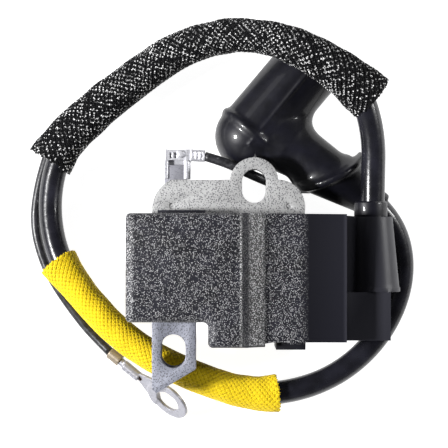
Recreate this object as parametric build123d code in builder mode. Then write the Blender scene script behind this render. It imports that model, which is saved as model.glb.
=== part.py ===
"""Flywheel ignition coil module with its plug lead, plug boot and stop wire.

The module lies on its back: +Z points up from the surface, +X along the module towards its
lead tower, +Y towards the mounting ear.  The origin is on that surface, below the middle of
the module's own box.  Millimetres.
"""
from build123d import *
import math
import os

os.makedirs("parts", exist_ok=True)

# Core: a U-shaped stack of steel plates, ear up, two legs down
PLATE_COUNT = 6
PLATE = 1.0
CORE_Z = 13.5
CORE_TOP = CORE_Z + PLATE_COUNT * PLATE
CORE_LEFT, CORE_RIGHT = -22.8, 8.6
LEFT_LEG, RIGHT_LEG = 9.0, 6.0
YOKE_INNER_Y, YOKE_Y = 9.6, 19.6
SHOULDER_Y = 13.0
TAB_Y, TAB_TIP_Y = -19.3, -24.2
LEG_END_Y = -11.0
LUG_R = 4.95
SLOT_W, SLOT_L = 5.0, 6.9
EAR_SLOT = (-1.8, 18.3)
TAB_SLOT = (-18.4, -15.6)
LOCK_DIMPLES = [(-18.7, 14.2), (5.3, 14.2)]
LEG_X = CORE_LEFT + LEFT_LEG / 2
LEG_Z = (CORE_Z + CORE_TOP) / 2
CHARGE_X = CORE_RIGHT - RIGHT_LEG / 2

# Housing: coil block, electronics block, lower wing and lead tower
LEFT_X, TOP_Y = -27.7, 12.7
COIL_BLOCK_Y, STEP_X, STRIP_Y = -9.2, -11.2, -14.3
RIDGE_X, CREASE_X, SLOPE_X, RIGHT_X = -4.6, -3.0, 0.3, 16.8
RIGHT_Y = -13.4
FOOT_Y, FOOT_Z0, FOOT_Z1 = -15.1, 10.0, 22.0
FACE_Z, CREASE_Z, SHELF_Z = 29.5, 27.1, 25.0
WALL = 1.2
ROOF = 1.4
WING_X, WING_TOP_Y, WING_Z, WING_TOP_Z = 26.2, -3.5, 6.8, 19.6
TOWER_X, TOWER_Z = 22.8, 15.0
TOWER_R = 4.2
SKIRT_X, SKIRT_R = 23.6, 4.9
TOWER_TOP_Y = 12.0
CLEAR = 0.1

# Coils
PRIMARY = dict(bore=(9.3, 6.3), wall=0.6, wire=0.9)
SECONDARY = dict(bore=(12.6, 9.5), wall=0.5, wire=1.0)
CHARGE = dict(bore=(6.3, 6.3), wall=0.6, wire=2.0)
COIL_Y0, COIL_Y1 = -7.8, 9.2
CHARGE_Y0, CHARGE_Y1 = -7.0, 5.0

# Circuit board under the charge coil
BOARD_Z, BOARD_T = 6.2, 1.0
BOARD_TOP = BOARD_Z + BOARD_T

# Plug lead, stop wire and sleeves
LEAD_D, WIRE_D = 5.0, 2.0
COLLAR_X, COLLAR_D, COLLAR_END_Y = 22.5, 6.9, 15.2
BLACK_R, BLACK_WALL = 4.3, 0.4
YELLOW_R, YELLOW_WALL = 3.6, 0.45

LEAD_ROUTE = [
    (22.8, 5.0, 15.0), (22.9, 17.2, 15.0), (23.0, 29.9, 17.3), (19.1, 40.0, 19.6),
    (9.2, 47.4, 20.7), (-3.9, 50.9, 16.1), (-17.3, 47.4, 9.0), (-30.3, 39.0, 4.8),
    (-42.4, 28.6, 4.2), (-46.0, 16.1, 3.2), (-43.9, 3.3, 4.5), (-36.7, -6.6, 5.1),
    (-26.7, -15.9, 4.3), (-14.0, -22.1, 4.2), (-1.6, -26.2, 4.2), (10.0, -24.7, 3.9),
    (19.6, -19.9, 2.7), (26.7, -12.1, 2.6), (30.6, -2.4, 2.6), (30.0, 7.2, 3.6),
    (25.0, 14.6, 6.2), (15.6, 21.2, 9.2), (6.1, 27.6, 8.7),
]
WIRE_ROUTE = [
    (-12.0, 24.7, 11.9), (-7.0, 23.2, 12.3), (-2.3, 20.8, 12.2), (3.0, 18.8, 7.6),
    (10.0, 17.8, 1.8), (17.0, 19.0, 1.1), (22.6, 22.8, 1.2), (24.7, 28.4, 5.6),
    (22.5, 34.8, 13.2), (18.6, 40.4, 16.2), (9.0, 47.4, 17.0), (-3.9, 51.0, 12.0),
    (-17.6, 47.8, 4.9), (-31.2, 40.1, 1.4), (-44.6, 30.2, 1.1), (-48.1, 19.6, 1.1),
    (-49.2, 10.5, 1.1), (-47.2, 2.5, 1.1), (-44.0, -3.6, 1.1), (-38.3, -11.4, 1.1),
    (-34.8, -15.0, 1.6), (-32.6, -17.1, 2.3),
]
BLACK_ROUTE = [
    (22.4, 36.4, 17.6), (17.5, 40.8, 19.3), (8.5, 46.3, 19.8), (-0.5, 49.7, 16.7),
    (-9.5, 49.9, 12.2), (-18.5, 47.2, 8.0), (-27.5, 41.2, 5.0), (-36.0, 34.6, 4.4),
    (-42.5, 28.4, 4.4), (-45.4, 23.8, 4.4),
]
YELLOW_ROUTE = [
    (-43.4, 2.3, 4.6), (-36.7, -6.6, 5.1), (-26.7, -15.9, 4.3), (-14.0, -22.1, 4.2),
    (-1.6, -26.2, 4.2), (3.4, -25.6, 4.1),
]

# Plug boot, lying beside the ear
BOOT_AT = (-1.2, 30.7, 8.0)
BOOT_DIR = (0.646, 0.7634, 0.0)
ARM_R, BEAD_R, SOCKET_R, MOUTH = 7.05, 7.9, 4.8, 19.0
DOME, DOME_R = 9.5, 7.38
NECK_AT, NECK_Z, NECK_DIR = 1.6, 1.0, (0.786, -0.619, 0.02)
NECK_R, FLANGE_R, FLANGE_T, CONE_R, LIP_R = 5.5, 7.6, 1.5, 6.9, 3.4
FLANGE_AT, FLANGE_DIR = (14.2, 22.4, 9.4), (0.432, -0.855, -0.288)
TIP_AT, TIP_DIR = (24.4, 14.5, 6.3), (0.79, -0.57, -0.2)
WEB = [(6.0, 34.5), (9.4, 32.8), (10.6, 32.4), (11.5, 30.3), (13.0, 27.0), (5.0, 26.0)]
WEB_HALF_T = 3.5

# Stop tab with its flag receptacle, and the ring terminal at the wire's far end
BLADE_X, BLADE_W, BLADE_Z, BLADE_T, BLADE_END_Y = -18.15, 4.8, 11.0, 0.8, 22.9
FLAG_Y0, FLAG_Y1, FLAG_SHEET, FLAG_LIP = 19.8, 26.2, 0.4, 0.95
FLAG_BARREL_R, FLAG_BARREL = 1.25, 4.2
SLIP = 0.05
RING_AT, RING_DIR, RING_ROLL = (-19.9, -27.3, 4.4), (0.772, -0.624, 0.13), 57
RING_OD, RING_HOLE, RING_T, RING_REACH = 9.7, 5.6, 0.8, 16.4


def corner_radii(route):
    """Return the arc radius at each corner: 0.45 of the shorter run over tan(half turn)."""
    points = [Vector(*p) for p in route]
    radii = []
    for before, here, after in zip(points, points[1:], points[2:]):
        turn = math.radians((here - before).get_angle(after - here))
        radii.append(0.45 * min((here - before).length, (after - here).length) / math.tan(turn / 2))
    return radii


def start_plane(route):
    """Return the plane across a route at its first point."""
    return Plane(origin=route[0], z_dir=Vector(*route[1]) - Vector(*route[0]))


def save(part, name):
    part.label = name
    export_step(part, f"parts/{name}.step")


# ---------------------------------------------------------------- free leads and sleeves
for route_name, route in (("lead", LEAD_ROUTE), ("wire", WIRE_ROUTE)):
    print(route_name, "radii", [round(r, 1) for r in corner_radii(route)])

with BuildPart() as ht_lead:
    with BuildLine() as lead_line:
        FilletPolyline(*LEAD_ROUTE, radius=corner_radii(LEAD_ROUTE))
    with BuildSketch(start_plane(LEAD_ROUTE)):
        Circle(LEAD_D / 2)
    sweep(path=lead_line.wires()[0])
save(ht_lead.part, "ht_lead")

with BuildPart() as stop_wire:
    with BuildLine() as wire_line:
        FilletPolyline(*WIRE_ROUTE, radius=corner_radii(WIRE_ROUTE))
    with BuildSketch(start_plane(WIRE_ROUTE)):
        Circle(WIRE_D / 2)
    sweep(path=wire_line.wires()[0])
save(stop_wire.part, "stop_wire")

with BuildPart() as black_sleeve:
    with BuildLine() as black_line:
        FilletPolyline(*BLACK_ROUTE, radius=corner_radii(BLACK_ROUTE))
    with BuildSketch(start_plane(BLACK_ROUTE)):
        Circle(BLACK_R)
        Circle(BLACK_R - BLACK_WALL, mode=Mode.SUBTRACT)
    sweep(path=black_line.wires()[0])
save(black_sleeve.part, "black_sleeve")

with BuildPart() as yellow_sleeve:
    with BuildLine() as yellow_line:
        FilletPolyline(*YELLOW_ROUTE, radius=corner_radii(YELLOW_ROUTE))
    with BuildSketch(start_plane(YELLOW_ROUTE)):
        Circle(YELLOW_R)
        Circle(YELLOW_R - YELLOW_WALL, mode=Mode.SUBTRACT)
    sweep(path=yellow_line.wires()[0])
save(yellow_sleeve.part, "yellow_sleeve")

for cord, line in ((ht_lead, lead_line), (stop_wire, wire_line)):
    section = min(cord.part.faces().filter_by(GeomType.PLANE), key=lambda f: f.area).area
    print("length", round(line.wires()[0].length, 1), "volume", round(cord.part.volume, 1),
          "section x length", round(section * line.wires()[0].length, 1))

# ---------------------------------------------------------------- laminated core
with BuildSketch(Plane.XY) as core_outline:
    with BuildLine():
        Line((CORE_LEFT, -23.4), (CORE_LEFT, SHOULDER_Y))
        ThreePointArc((CORE_LEFT, SHOULDER_Y), (-21.8, 16.9), (-18.9, YOKE_Y))
        Line((-18.9, YOKE_Y), (3.6, YOKE_Y))
        ThreePointArc((3.6, YOKE_Y), (7.5, 17.4), (CORE_RIGHT, SHOULDER_Y))
        Polyline((CORE_RIGHT, SHOULDER_Y), (CORE_RIGHT, LEG_END_Y), (CORE_RIGHT - RIGHT_LEG, LEG_END_Y),
                 (CORE_RIGHT - RIGHT_LEG, YOKE_INNER_Y), (CORE_LEFT + LEFT_LEG, YOKE_INNER_Y),
                 (CORE_LEFT + LEFT_LEG, TAB_Y), (CORE_LEFT + 0.9, TAB_TIP_Y), (CORE_LEFT, -23.4))
    make_face()
    with Locations((EAR_SLOT[0], YOKE_Y - 0.35)):
        Circle(LUG_R)
    with Locations(EAR_SLOT, TAB_SLOT):
        SlotOverall(SLOT_L, SLOT_W, rotation=90, mode=Mode.SUBTRACT)

plates = []
for index in range(PLATE_COUNT):
    with BuildPart() as plate:
        with BuildSketch(Plane.XY.offset(CORE_Z + index * PLATE)):
            add(core_outline.sketch)
        extrude(amount=PLATE)
        with BuildSketch(Plane.XY.offset(CORE_TOP)):
            with Locations(*LOCK_DIMPLES):
                Circle(0.6)
        extrude(amount=-0.3, mode=Mode.SUBTRACT)
    plates.append(plate.part.solid())
core_laminations = Compound(children=plates)
save(core_laminations, "core_laminations")

with BuildPart() as core_hole:
    with BuildSketch(Plane.XY.offset(CORE_Z - CLEAR)):
        offset(core_outline.sketch, amount=CLEAR, kind=Kind.INTERSECTION)
    extrude(amount=CORE_TOP - CORE_Z + 2 * CLEAR)

# ---------------------------------------------------------------- housing shell
with BuildSketch(Plane.XY) as coil_outline:
    Polygon((LEFT_X, COIL_BLOCK_Y), (STEP_X, COIL_BLOCK_Y), (STEP_X, STRIP_Y), (-3.4, STRIP_Y),
            (-3.4, TOP_Y), (LEFT_X, TOP_Y), align=None)

with BuildSketch(Plane.XY) as case_outline:
    add(coil_outline.sketch)
    Polygon((-3.5, STRIP_Y), (1.8, RIGHT_Y), (RIGHT_X, RIGHT_Y), (RIGHT_X, TOP_Y - 0.2),
            (-3.5, TOP_Y), align=None)

with BuildPart() as case_body:
    add(case_outline.sketch)
    extrude(amount=SHELF_Z)
    add(coil_outline.sketch)
    extrude(amount=FACE_Z)
    with BuildSketch(Plane.XZ.offset(-TOP_Y)):
        Polygon((RIDGE_X, FACE_Z + 1), (RIDGE_X, FACE_Z), (CREASE_X, CREASE_Z),
                (SLOPE_X, SHELF_Z), (SLOPE_X, FACE_Z + 1), align=None)
    extrude(amount=TOP_Y - STRIP_Y + 1, mode=Mode.SUBTRACT)
    with BuildSketch(Plane.XZ.offset(-TOP_Y)):
        Polygon((RIDGE_X, SHELF_Z - 1), (RIDGE_X, FACE_Z), (CREASE_X, CREASE_Z), (SLOPE_X, SHELF_Z),
                (SLOPE_X, SHELF_Z - 1), align=None)
    extrude(amount=TOP_Y - STRIP_Y)
    corners = case_body.edges().filter_by(Axis.Z).group_by(Axis.X)
    fillet(corners[0] + corners[1], radius=1.0)
    front_edge = case_body.edges().filter_by(Axis.Y).group_by(Axis.Z)[-1].sort_by(Axis.X)[0]
    fillet(front_edge, radius=1.9)

with BuildPart() as tower_body:
    with BuildSketch(Plane(origin=(SKIRT_X, WING_TOP_Y, TOWER_Z), x_dir=(1, 0, 0), z_dir=(0, 1, 0))):
        Circle(SKIRT_R)
    with BuildSketch(Plane(origin=(TOWER_X, TOWER_TOP_Y, TOWER_Z), x_dir=(1, 0, 0), z_dir=(0, 1, 0))):
        Circle(TOWER_R)
    loft()
    with BuildSketch(Plane(origin=(SKIRT_X, WING_TOP_Y, TOWER_Z), x_dir=(1, 0, 0), z_dir=(0, 1, 0))):
        Circle(SKIRT_R + 0.1)
    extrude(amount=0.9)
    with BuildSketch(Plane.XY.offset(TOWER_Z - 2.6)):
        Polygon((RIGHT_X - 0.5, WING_TOP_Y), (TOWER_X, WING_TOP_Y), (TOWER_X, TOWER_TOP_Y - 0.2),
                (RIGHT_X - 0.5, TOWER_TOP_Y + 0.3), align=None)
    extrude(amount=5.2)
    with BuildSketch(Plane.XY.offset(WING_Z)):
        Polygon((RIGHT_X - 0.5, RIGHT_Y), (WING_X, RIGHT_Y), (WING_X, WING_TOP_Y),
                (RIGHT_X - 0.5, WING_TOP_Y), align=None)
    extrude(amount=WING_TOP_Z - WING_Z)

with BuildPart() as housing_shell:
    add(case_body.part)
    add(tower_body.part)
    with BuildSketch(Plane.XY.offset(CORE_TOP + 0.6)):
        with Locations((-16.6, TOP_Y + 0.25)):
            Rectangle(9.6, 0.7)
    extrude(amount=5.0)
    with BuildSketch(Plane.XY.offset(FOOT_Z0)):
        with Locations((CORE_RIGHT - RIGHT_LEG / 2, (FOOT_Y + RIGHT_Y + 0.5) / 2)):
            Rectangle(RIGHT_LEG, RIGHT_Y + 0.5 - FOOT_Y)
    extrude(amount=FOOT_Z1 - FOOT_Z0)
    with BuildSketch(Plane.XY):
        offset(case_outline.sketch, amount=-WALL)
    extrude(amount=SHELF_Z - ROOF, mode=Mode.SUBTRACT)
    with BuildSketch(Plane.XY):
        offset(coil_outline.sketch, amount=-WALL)
    extrude(amount=SHELF_Z - ROOF, mode=Mode.SUBTRACT)
    with BuildSketch(Plane.XY.offset(SHELF_Z - ROOF)):
        Polygon((LEFT_X + 2.0, COIL_BLOCK_Y + WALL), (RIDGE_X - 1.0, COIL_BLOCK_Y + WALL),
                (RIDGE_X - 1.0, TOP_Y - WALL), (LEFT_X + 2.0, TOP_Y - WALL), align=None)
    extrude(amount=FACE_Z - SHELF_Z, mode=Mode.SUBTRACT)
    add(ht_lead.part, mode=Mode.SUBTRACT)
    with BuildSketch(Plane(origin=(COLLAR_X, 9.0, TOWER_Z), x_dir=(1, 0, 0), z_dir=(0, 1, 0))):
        Circle(COLLAR_D / 2 - 0.3)
    extrude(amount=5, mode=Mode.SUBTRACT)
    with BuildSketch(Plane(origin=(TOWER_X, -2.0, TOWER_Z), x_dir=(1, 0, 0), z_dir=(0, 1, 0))):
        Circle(0.8)
    extrude(amount=7.0, mode=Mode.SUBTRACT)
    with BuildSketch(Plane.XY.offset(TOWER_Z - 0.4)):
        Polygon((RIGHT_X - 1.3, -2.0), (TOWER_X + 0.8, -2.0), (TOWER_X + 0.8, -0.8),
                (RIGHT_X - 1.3, -0.8), align=None)
    extrude(amount=0.8, mode=Mode.SUBTRACT)
    with BuildSketch(Plane.XY.offset(10.9)):
        with Locations((-18.2, TOP_Y)):
            Rectangle(5.0, 4.0)
    extrude(amount=1.0, mode=Mode.SUBTRACT)
    add(core_hole.part, mode=Mode.SUBTRACT)
save(housing_shell.part, "housing_shell")


# ---------------------------------------------------------------- coils on the core's legs
def coil_plane(y):
    return Plane(origin=(0, y, LEG_Z), x_dir=(1, 0, 0), z_dir=(0, 1, 0))


def wound_size(coil):
    """Return the bobbin barrel's and the full winding's outer width and height."""
    barrel = [side + 2 * coil["wall"] for side in coil["bore"]]
    full = [side + 2 * coil["wire"] for side in barrel]
    return barrel, full


def make_bobbin(coil, x, y0, y1, cheeks):
    """Return a square-bored bobbin with a cheek at each of the given Y places."""
    barrel, full = wound_size(coil)
    with BuildPart() as bobbin:
        with BuildSketch(coil_plane(y0)):
            with Locations((x, 0)):
                RectangleRounded(*barrel, 0.6)
        extrude(amount=y1 - y0)
        for y in cheeks:
            with BuildSketch(coil_plane(y)):
                with Locations((x, 0)):
                    RectangleRounded(*full, 1.0)
            extrude(amount=0.6)
        with BuildSketch(coil_plane(y0)):
            with Locations((x, 0)):
                Rectangle(*coil["bore"])
        extrude(amount=y1 - y0, mode=Mode.SUBTRACT)
    return bobbin.part


def make_winding(coil, x, spans):
    """Return the wire packs between a bobbin's cheeks, one solid each."""
    barrel, full = wound_size(coil)
    with BuildPart() as winding:
        for low, high in spans:
            with BuildSketch(coil_plane(low)):
                with Locations((x, 0)):
                    RectangleRounded(full[0] - 0.2, full[1] - 0.2, 1.2)
                    RectangleRounded(*barrel, 0.6, mode=Mode.SUBTRACT)
            extrude(amount=high - low)
    return winding.part


def gaps_between(cheeks):
    return [(a + 0.6, b) for a, b in zip(cheeks, cheeks[1:])]


primary_cheeks = [COIL_Y0, COIL_Y1 - 0.6]
secondary_cheeks = [COIL_Y0 + index * (COIL_Y1 - COIL_Y0 - 0.6) / 5 for index in range(6)]
charge_cheeks = [CHARGE_Y0, CHARGE_Y1 - 0.6]
save(make_bobbin(PRIMARY, LEG_X, COIL_Y0, COIL_Y1, primary_cheeks), "primary_bobbin")
save(make_winding(PRIMARY, LEG_X, gaps_between(primary_cheeks)), "primary_winding")
save(make_bobbin(SECONDARY, LEG_X, COIL_Y0, COIL_Y1, secondary_cheeks), "secondary_bobbin")
save(make_winding(SECONDARY, LEG_X, gaps_between(secondary_cheeks)), "secondary_winding")
save(make_bobbin(CHARGE, CHARGE_X, CHARGE_Y0, CHARGE_Y1, charge_cheeks), "charge_coil_bobbin")
save(make_winding(CHARGE, CHARGE_X, gaps_between(charge_cheeks)), "charge_coil_winding")

# ---------------------------------------------------------------- ignition electronics
with BuildPart() as circuit_board:
    with BuildSketch(Plane.XY.offset(BOARD_Z)):
        with Locations((6.65, -1.6)):
            RectangleRounded(17.0, 20.0, 0.6)
        with Locations((-1.0, -10.6), (14.3, -10.6), (-1.0, 7.3)):
            Circle(0.6, mode=Mode.SUBTRACT)
    extrude(amount=BOARD_T)
save(circuit_board.part, "circuit_board")

with BuildPart() as storage_capacitor:
    with BuildSketch(Plane.XY.offset(BOARD_TOP)):
        with Locations((13.4, 3.9)):
            Rectangle(3.2, 8.8)
    extrude(amount=10.0)
    fillet(storage_capacitor.edges().filter_by(Axis.Z), radius=0.6)
    fillet(storage_capacitor.faces().sort_by(Axis.Z)[-1].edges(), radius=0.4)
save(storage_capacitor.part, "storage_capacitor")

with BuildPart() as thyristor:
    with BuildSketch(Plane.XY.offset(BOARD_TOP)):
        with Locations((5.0, -9.4)):
            Circle(2.0)
        with Locations((5.0, -11.2)):
            Rectangle(4.4, 1.6, mode=Mode.SUBTRACT)
    extrude(amount=3.2)
save(thyristor.part, "thyristor")

with BuildPart() as rectifier_diodes:
    for x in (9.6, 12.4):
        with BuildSketch(Plane(origin=(x, -6.0, BOARD_Z - 1.1), x_dir=(1, 0, 0), z_dir=(0, 1, 0))):
            Circle(1.1)
        extrude(amount=4.2)
save(rectifier_diodes.part, "rectifier_diodes")

with BuildPart() as resistors:
    with BuildSketch(Plane.XY.offset(BOARD_Z)):
        with GridLocations(2.4, 0, 3, 1):
            with Locations((5.0, 5.6)):
                Rectangle(1.3, 2.6)
    extrude(amount=-0.6)
save(resistors.part, "resistors")

with BuildPart() as control_chip:
    with BuildSketch(Plane.XY.offset(BOARD_Z)):
        with Locations((2.6, -2.6)):
            Rectangle(4.0, 5.0)
    extrude(amount=-1.6)
    chamfer(control_chip.faces().sort_by(Axis.Z)[0].edges(), length=0.3)
save(control_chip.part, "control_chip")

with BuildPart() as ground_strap:
    with BuildSketch(Plane.XY.offset(BOARD_TOP)):
        with Locations((5.6, 6.7)):
            Rectangle(2.4, 2.6)
    extrude(amount=0.4)
    with BuildSketch(Plane.XY.offset(BOARD_TOP)):
        with Locations((5.6, 7.8)):
            Rectangle(2.4, 0.4)
    extrude(amount=CORE_Z - BOARD_TOP)
save(ground_strap.part, "ground_strap")

with BuildPart() as stop_link:
    with BuildSketch(Plane.XY.offset(BLADE_Z - 0.4)):
        with Locations((-9.9, 10.4)):
            Rectangle(20.6, 1.2)
    extrude(amount=0.4)
    with BuildSketch(Plane.XY.offset(BOARD_TOP)):
        with Locations((0.2, 9.4)):
            Rectangle(0.4, 3.2)
    extrude(amount=BLADE_Z - BOARD_TOP)
save(stop_link.part, "stop_link")

with BuildPart() as ht_bus:
    with BuildSketch(Plane.XY.offset(22.8)):
        with Locations((2.45, -1.4)):
            Rectangle(25.9, 1.2)
    extrude(amount=0.5)
    with BuildSketch(Plane.XY.offset(TOWER_Z + 0.4)):
        with Locations((15.15, -1.4)):
            Rectangle(0.5, 1.2)
    extrude(amount=23.0 - TOWER_Z - 0.4)
save(ht_bus.part, "ht_bus")

with BuildPart() as ht_contact_pin:
    with BuildSketch(Plane(origin=(TOWER_X, -2.0, TOWER_Z), x_dir=(1, 0, 0), z_dir=(0, 1, 0))):
        Circle(0.8)
    extrude(amount=7.0)
    with BuildSketch(Plane.XY.offset(TOWER_Z - 0.4)):
        with Locations(((14.9 + TOWER_X) / 2, -1.4)):
            Rectangle(TOWER_X - 14.9, 1.2)
    extrude(amount=0.8)
save(ht_contact_pin.part, "ht_contact_pin")

# ---------------------------------------------------------------- lead collar
with BuildPart() as lead_grommet:
    with BuildSketch(Plane(origin=(COLLAR_X, 9.0, TOWER_Z), x_dir=(1, 0, 0), z_dir=(0, 1, 0))):
        Circle(COLLAR_D / 2 - 0.3)
    extrude(amount=TOWER_TOP_Y - 9.0)
    with BuildSketch(Plane(origin=(COLLAR_X, TOWER_TOP_Y, TOWER_Z), x_dir=(1, 0, 0), z_dir=(0, 1, 0))):
        Circle(COLLAR_D / 2)
    extrude(amount=COLLAR_END_Y - TOWER_TOP_Y)
    chamfer(lead_grommet.faces().sort_by(Axis.Y)[-1].edges(), length=0.3)
    add(ht_lead.part, mode=Mode.SUBTRACT)
save(lead_grommet.part, "lead_grommet")

# ---------------------------------------------------------------- stop tab and flag receptacle
with BuildPart() as stop_tab:
    with BuildSketch(Plane.XY.offset(BLADE_Z)):
        with Locations((BLADE_X, (9.7 + BLADE_END_Y) / 2)):
            Rectangle(BLADE_W, BLADE_END_Y - 9.7)
    extrude(amount=BLADE_T)
    chamfer(stop_tab.faces().sort_by(Axis.Y)[-1].edges().filter_by(Axis.Z), length=0.7)
save(stop_tab.part, "stop_tab")

wire_end = start_plane(WIRE_ROUTE)
with BuildPart() as flag_receptacle:
    half = BLADE_W / 2 + SLIP + FLAG_SHEET
    floor_z = BLADE_Z - SLIP - FLAG_SHEET
    lip_top = BLADE_Z + BLADE_T + SLIP + FLAG_SHEET
    with BuildSketch(Plane.XY.offset(floor_z)):
        with Locations((BLADE_X, (FLAG_Y0 + FLAG_Y1) / 2)):
            RectangleRounded(2 * half, FLAG_Y1 - FLAG_Y0, 0.2)
    extrude(amount=lip_top - floor_z)
    with BuildSketch(Plane.XY.offset(floor_z + FLAG_SHEET)):
        with Locations((BLADE_X, (FLAG_Y0 + FLAG_Y1) / 2)):
            Rectangle(BLADE_W + 2 * SLIP, FLAG_Y1 - FLAG_Y0 + 2)
    extrude(amount=BLADE_T + 2 * SLIP, mode=Mode.SUBTRACT)
    with BuildSketch(Plane.XY.offset(lip_top)):
        with Locations((BLADE_X, FLAG_Y0 + 1.6)):
            Rectangle(2 * (half - FLAG_LIP), 3.2 + 0.2)
    extrude(amount=-(FLAG_SHEET + 0.01), mode=Mode.SUBTRACT)
    with BuildSketch(wire_end):
        Circle(FLAG_BARREL_R)
    extrude(amount=-FLAG_BARREL)
    with BuildSketch(Plane.XY.offset(lip_top - 0.01)):
        with Locations((-16.2, 25.1)):
            Rectangle(1.6, 2.0)
    extrude(amount=0.5)
save(flag_receptacle.part, "flag_receptacle")

# ---------------------------------------------------------------- ring terminal
ring_way = Vector(*RING_DIR).normalized()
ring_side = Vector(0, 0, 1).cross(ring_way).normalized()
ring_up = ring_way.cross(ring_side)
ring_roll = math.radians(RING_ROLL)
ring_normal = ring_up * math.cos(ring_roll) - ring_side * math.sin(ring_roll)
ring_face = Plane(origin=RING_AT, x_dir=ring_way, z_dir=ring_normal)
with BuildPart() as ring_terminal:
    with BuildSketch(ring_face.offset(-RING_T / 2)):
        Circle(RING_OD / 2)
        with Locations((-6.0, 0)):
            Rectangle(5.0, 3.4)
        with Locations((-9.8, 0)):
            Rectangle(6.0, 1.8)
        Circle(RING_HOLE / 2, mode=Mode.SUBTRACT)
    extrude(amount=RING_T)
    with BuildSketch(Plane(origin=Vector(*RING_AT) - ring_way * RING_REACH, z_dir=ring_way)):
        Circle(1.25)
    extrude(amount=3.1)
    with BuildSketch(Plane(origin=Vector(*RING_AT) - ring_way * 11.8, z_dir=ring_way)):
        Circle(1.05)
    extrude(amount=4.1)
    with BuildSketch(Plane(origin=Vector(*RING_AT) - ring_way * 13.4, z_dir=ring_way)):
        Circle(0.8)
    extrude(amount=1.7)
save(ring_terminal.part, "ring_terminal")

# ---------------------------------------------------------------- plug boot
arm_way = Vector(*BOOT_DIR).normalized()
neck_from = Vector(*BOOT_AT) + arm_way * NECK_AT + Vector(0, 0, NECK_Z)
neck_way = Vector(*NECK_DIR)
flange_face = Plane(origin=FLANGE_AT, z_dir=FLANGE_DIR)
tip_face = Plane(origin=TIP_AT, z_dir=TIP_DIR)
lead_end = Vector(*LEAD_ROUTE[-1])
dome_centre = DOME_R - DOME
dome_start = (dome_centre - math.sqrt(DOME_R ** 2 - (ARM_R - 0.1) ** 2), ARM_R - 0.1)
dome_middle = (dome_centre - DOME_R * math.cos(math.radians(35)), DOME_R * math.sin(math.radians(35)))
with BuildPart() as boot_shell:
    with BuildSketch(Plane(origin=BOOT_AT, x_dir=BOOT_DIR, z_dir=(0, 0, 1))):
        with BuildLine():
            Polyline((-DOME, 0), (MOUTH, 0), (MOUTH, ARM_R), (-0.3, ARM_R), (-0.6, BEAD_R),
                     (-2.2, BEAD_R), (-2.6, ARM_R), dome_start)
            ThreePointArc(dome_start, dome_middle, (-DOME, 0))
        make_face()
    revolve(axis=Axis(BOOT_AT, BOOT_DIR))
    with BuildSketch(Plane(origin=neck_from, z_dir=neck_way)):
        Circle(NECK_R)
    extrude(amount=(Vector(*FLANGE_AT) - neck_from).length + NECK_R)
    split(bisect_by=flange_face, keep=Keep.BOTTOM)
    with BuildSketch(Plane.XY.offset(neck_from.Z - WEB_HALF_T)):
        Polygon(*WEB, align=None)
    extrude(amount=2 * WEB_HALF_T)
    with BuildSketch(flange_face.offset(-0.2)):
        Circle(FLANGE_R)
    extrude(amount=FLANGE_T)
    with BuildSketch(flange_face.offset(FLANGE_T - 0.3)):
        Circle(CONE_R)
    with BuildSketch(tip_face):
        Circle(LIP_R - 0.4)
    loft()
    with BuildSketch(tip_face.offset(-0.2)):
        Circle(LIP_R)
    extrude(amount=1.0)
    with BuildSketch(Plane(origin=Vector(*BOOT_AT) + arm_way * MOUTH, z_dir=arm_way)):
        Circle(SOCKET_R)
    extrude(amount=-(MOUTH + 4.5), mode=Mode.SUBTRACT)
    with BuildSketch(Plane(origin=lead_end, z_dir=neck_from - lead_end)):
        Circle(LEAD_D / 2 - 0.1)
    extrude(amount=4.5, mode=Mode.SUBTRACT)
    add(ht_lead.part, mode=Mode.SUBTRACT)
save(boot_shell.part, "boot_shell")

with BuildPart() as boot_terminal:
    with BuildSketch(Plane(origin=lead_end, z_dir=lead_end - Vector(*LEAD_ROUTE[-2]))):
        Circle(2.2)
    extrude(amount=0.8)
    with BuildSketch(Plane(origin=lead_end, z_dir=neck_from - lead_end)):
        Circle(0.6)
    extrude(amount=(neck_from - lead_end).length - 4.0)
save(boot_terminal.part, "boot_terminal")

with BuildPart() as boot_contact_spring:
    with BuildLine() as spring_line:
        Helix(pitch=1.9, height=9.5, radius=3.4, center=Vector(*BOOT_AT) + arm_way * -2.5, direction=arm_way)
    spring_wire = spring_line.wires()[0]
    with BuildSketch(Plane(origin=spring_wire @ 0, z_dir=spring_wire % 0)):
        Circle(0.4)
    sweep(path=spring_wire, is_frenet=True)
save(boot_contact_spring.part, "boot_contact_spring")

# ---------------------------------------------------------------- potting resin
with BuildPart() as potting_resin:
    with BuildSketch(Plane.XY.offset(0.6)):
        offset(case_outline.sketch, amount=-WALL)
    extrude(amount=SHELF_Z - ROOF - 0.6)
    for x, y0, y1, width, height in (
        (LEG_X, COIL_Y0, COIL_Y1, 15.8, 12.7),
        (CHARGE_X, CHARGE_Y0, CHARGE_Y1, 11.7, 11.7),
    ):
        with BuildSketch(coil_plane(y0 - CLEAR)):
            with Locations((x, 0)):
                Rectangle(width, height)
        extrude(amount=y1 - y0 + 2 * CLEAR, mode=Mode.SUBTRACT)
    for piece in (circuit_board, storage_capacitor, thyristor, rectifier_diodes, resistors,
                  control_chip, ground_strap, stop_link, stop_tab, ht_bus, ht_contact_pin, core_hole):
        add(piece.part, mode=Mode.SUBTRACT)
save(potting_resin.part, "potting_resin")
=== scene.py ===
"""Looks of a flywheel ignition coil: housing, core, plug lead with its sleeves and boot, stop wire.

Everything is in metres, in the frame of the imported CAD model: the module lies on its back on the
floor, +Z up, +X towards the lead tower, +Y towards the mounting ear.
"""
import math
import random

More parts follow.
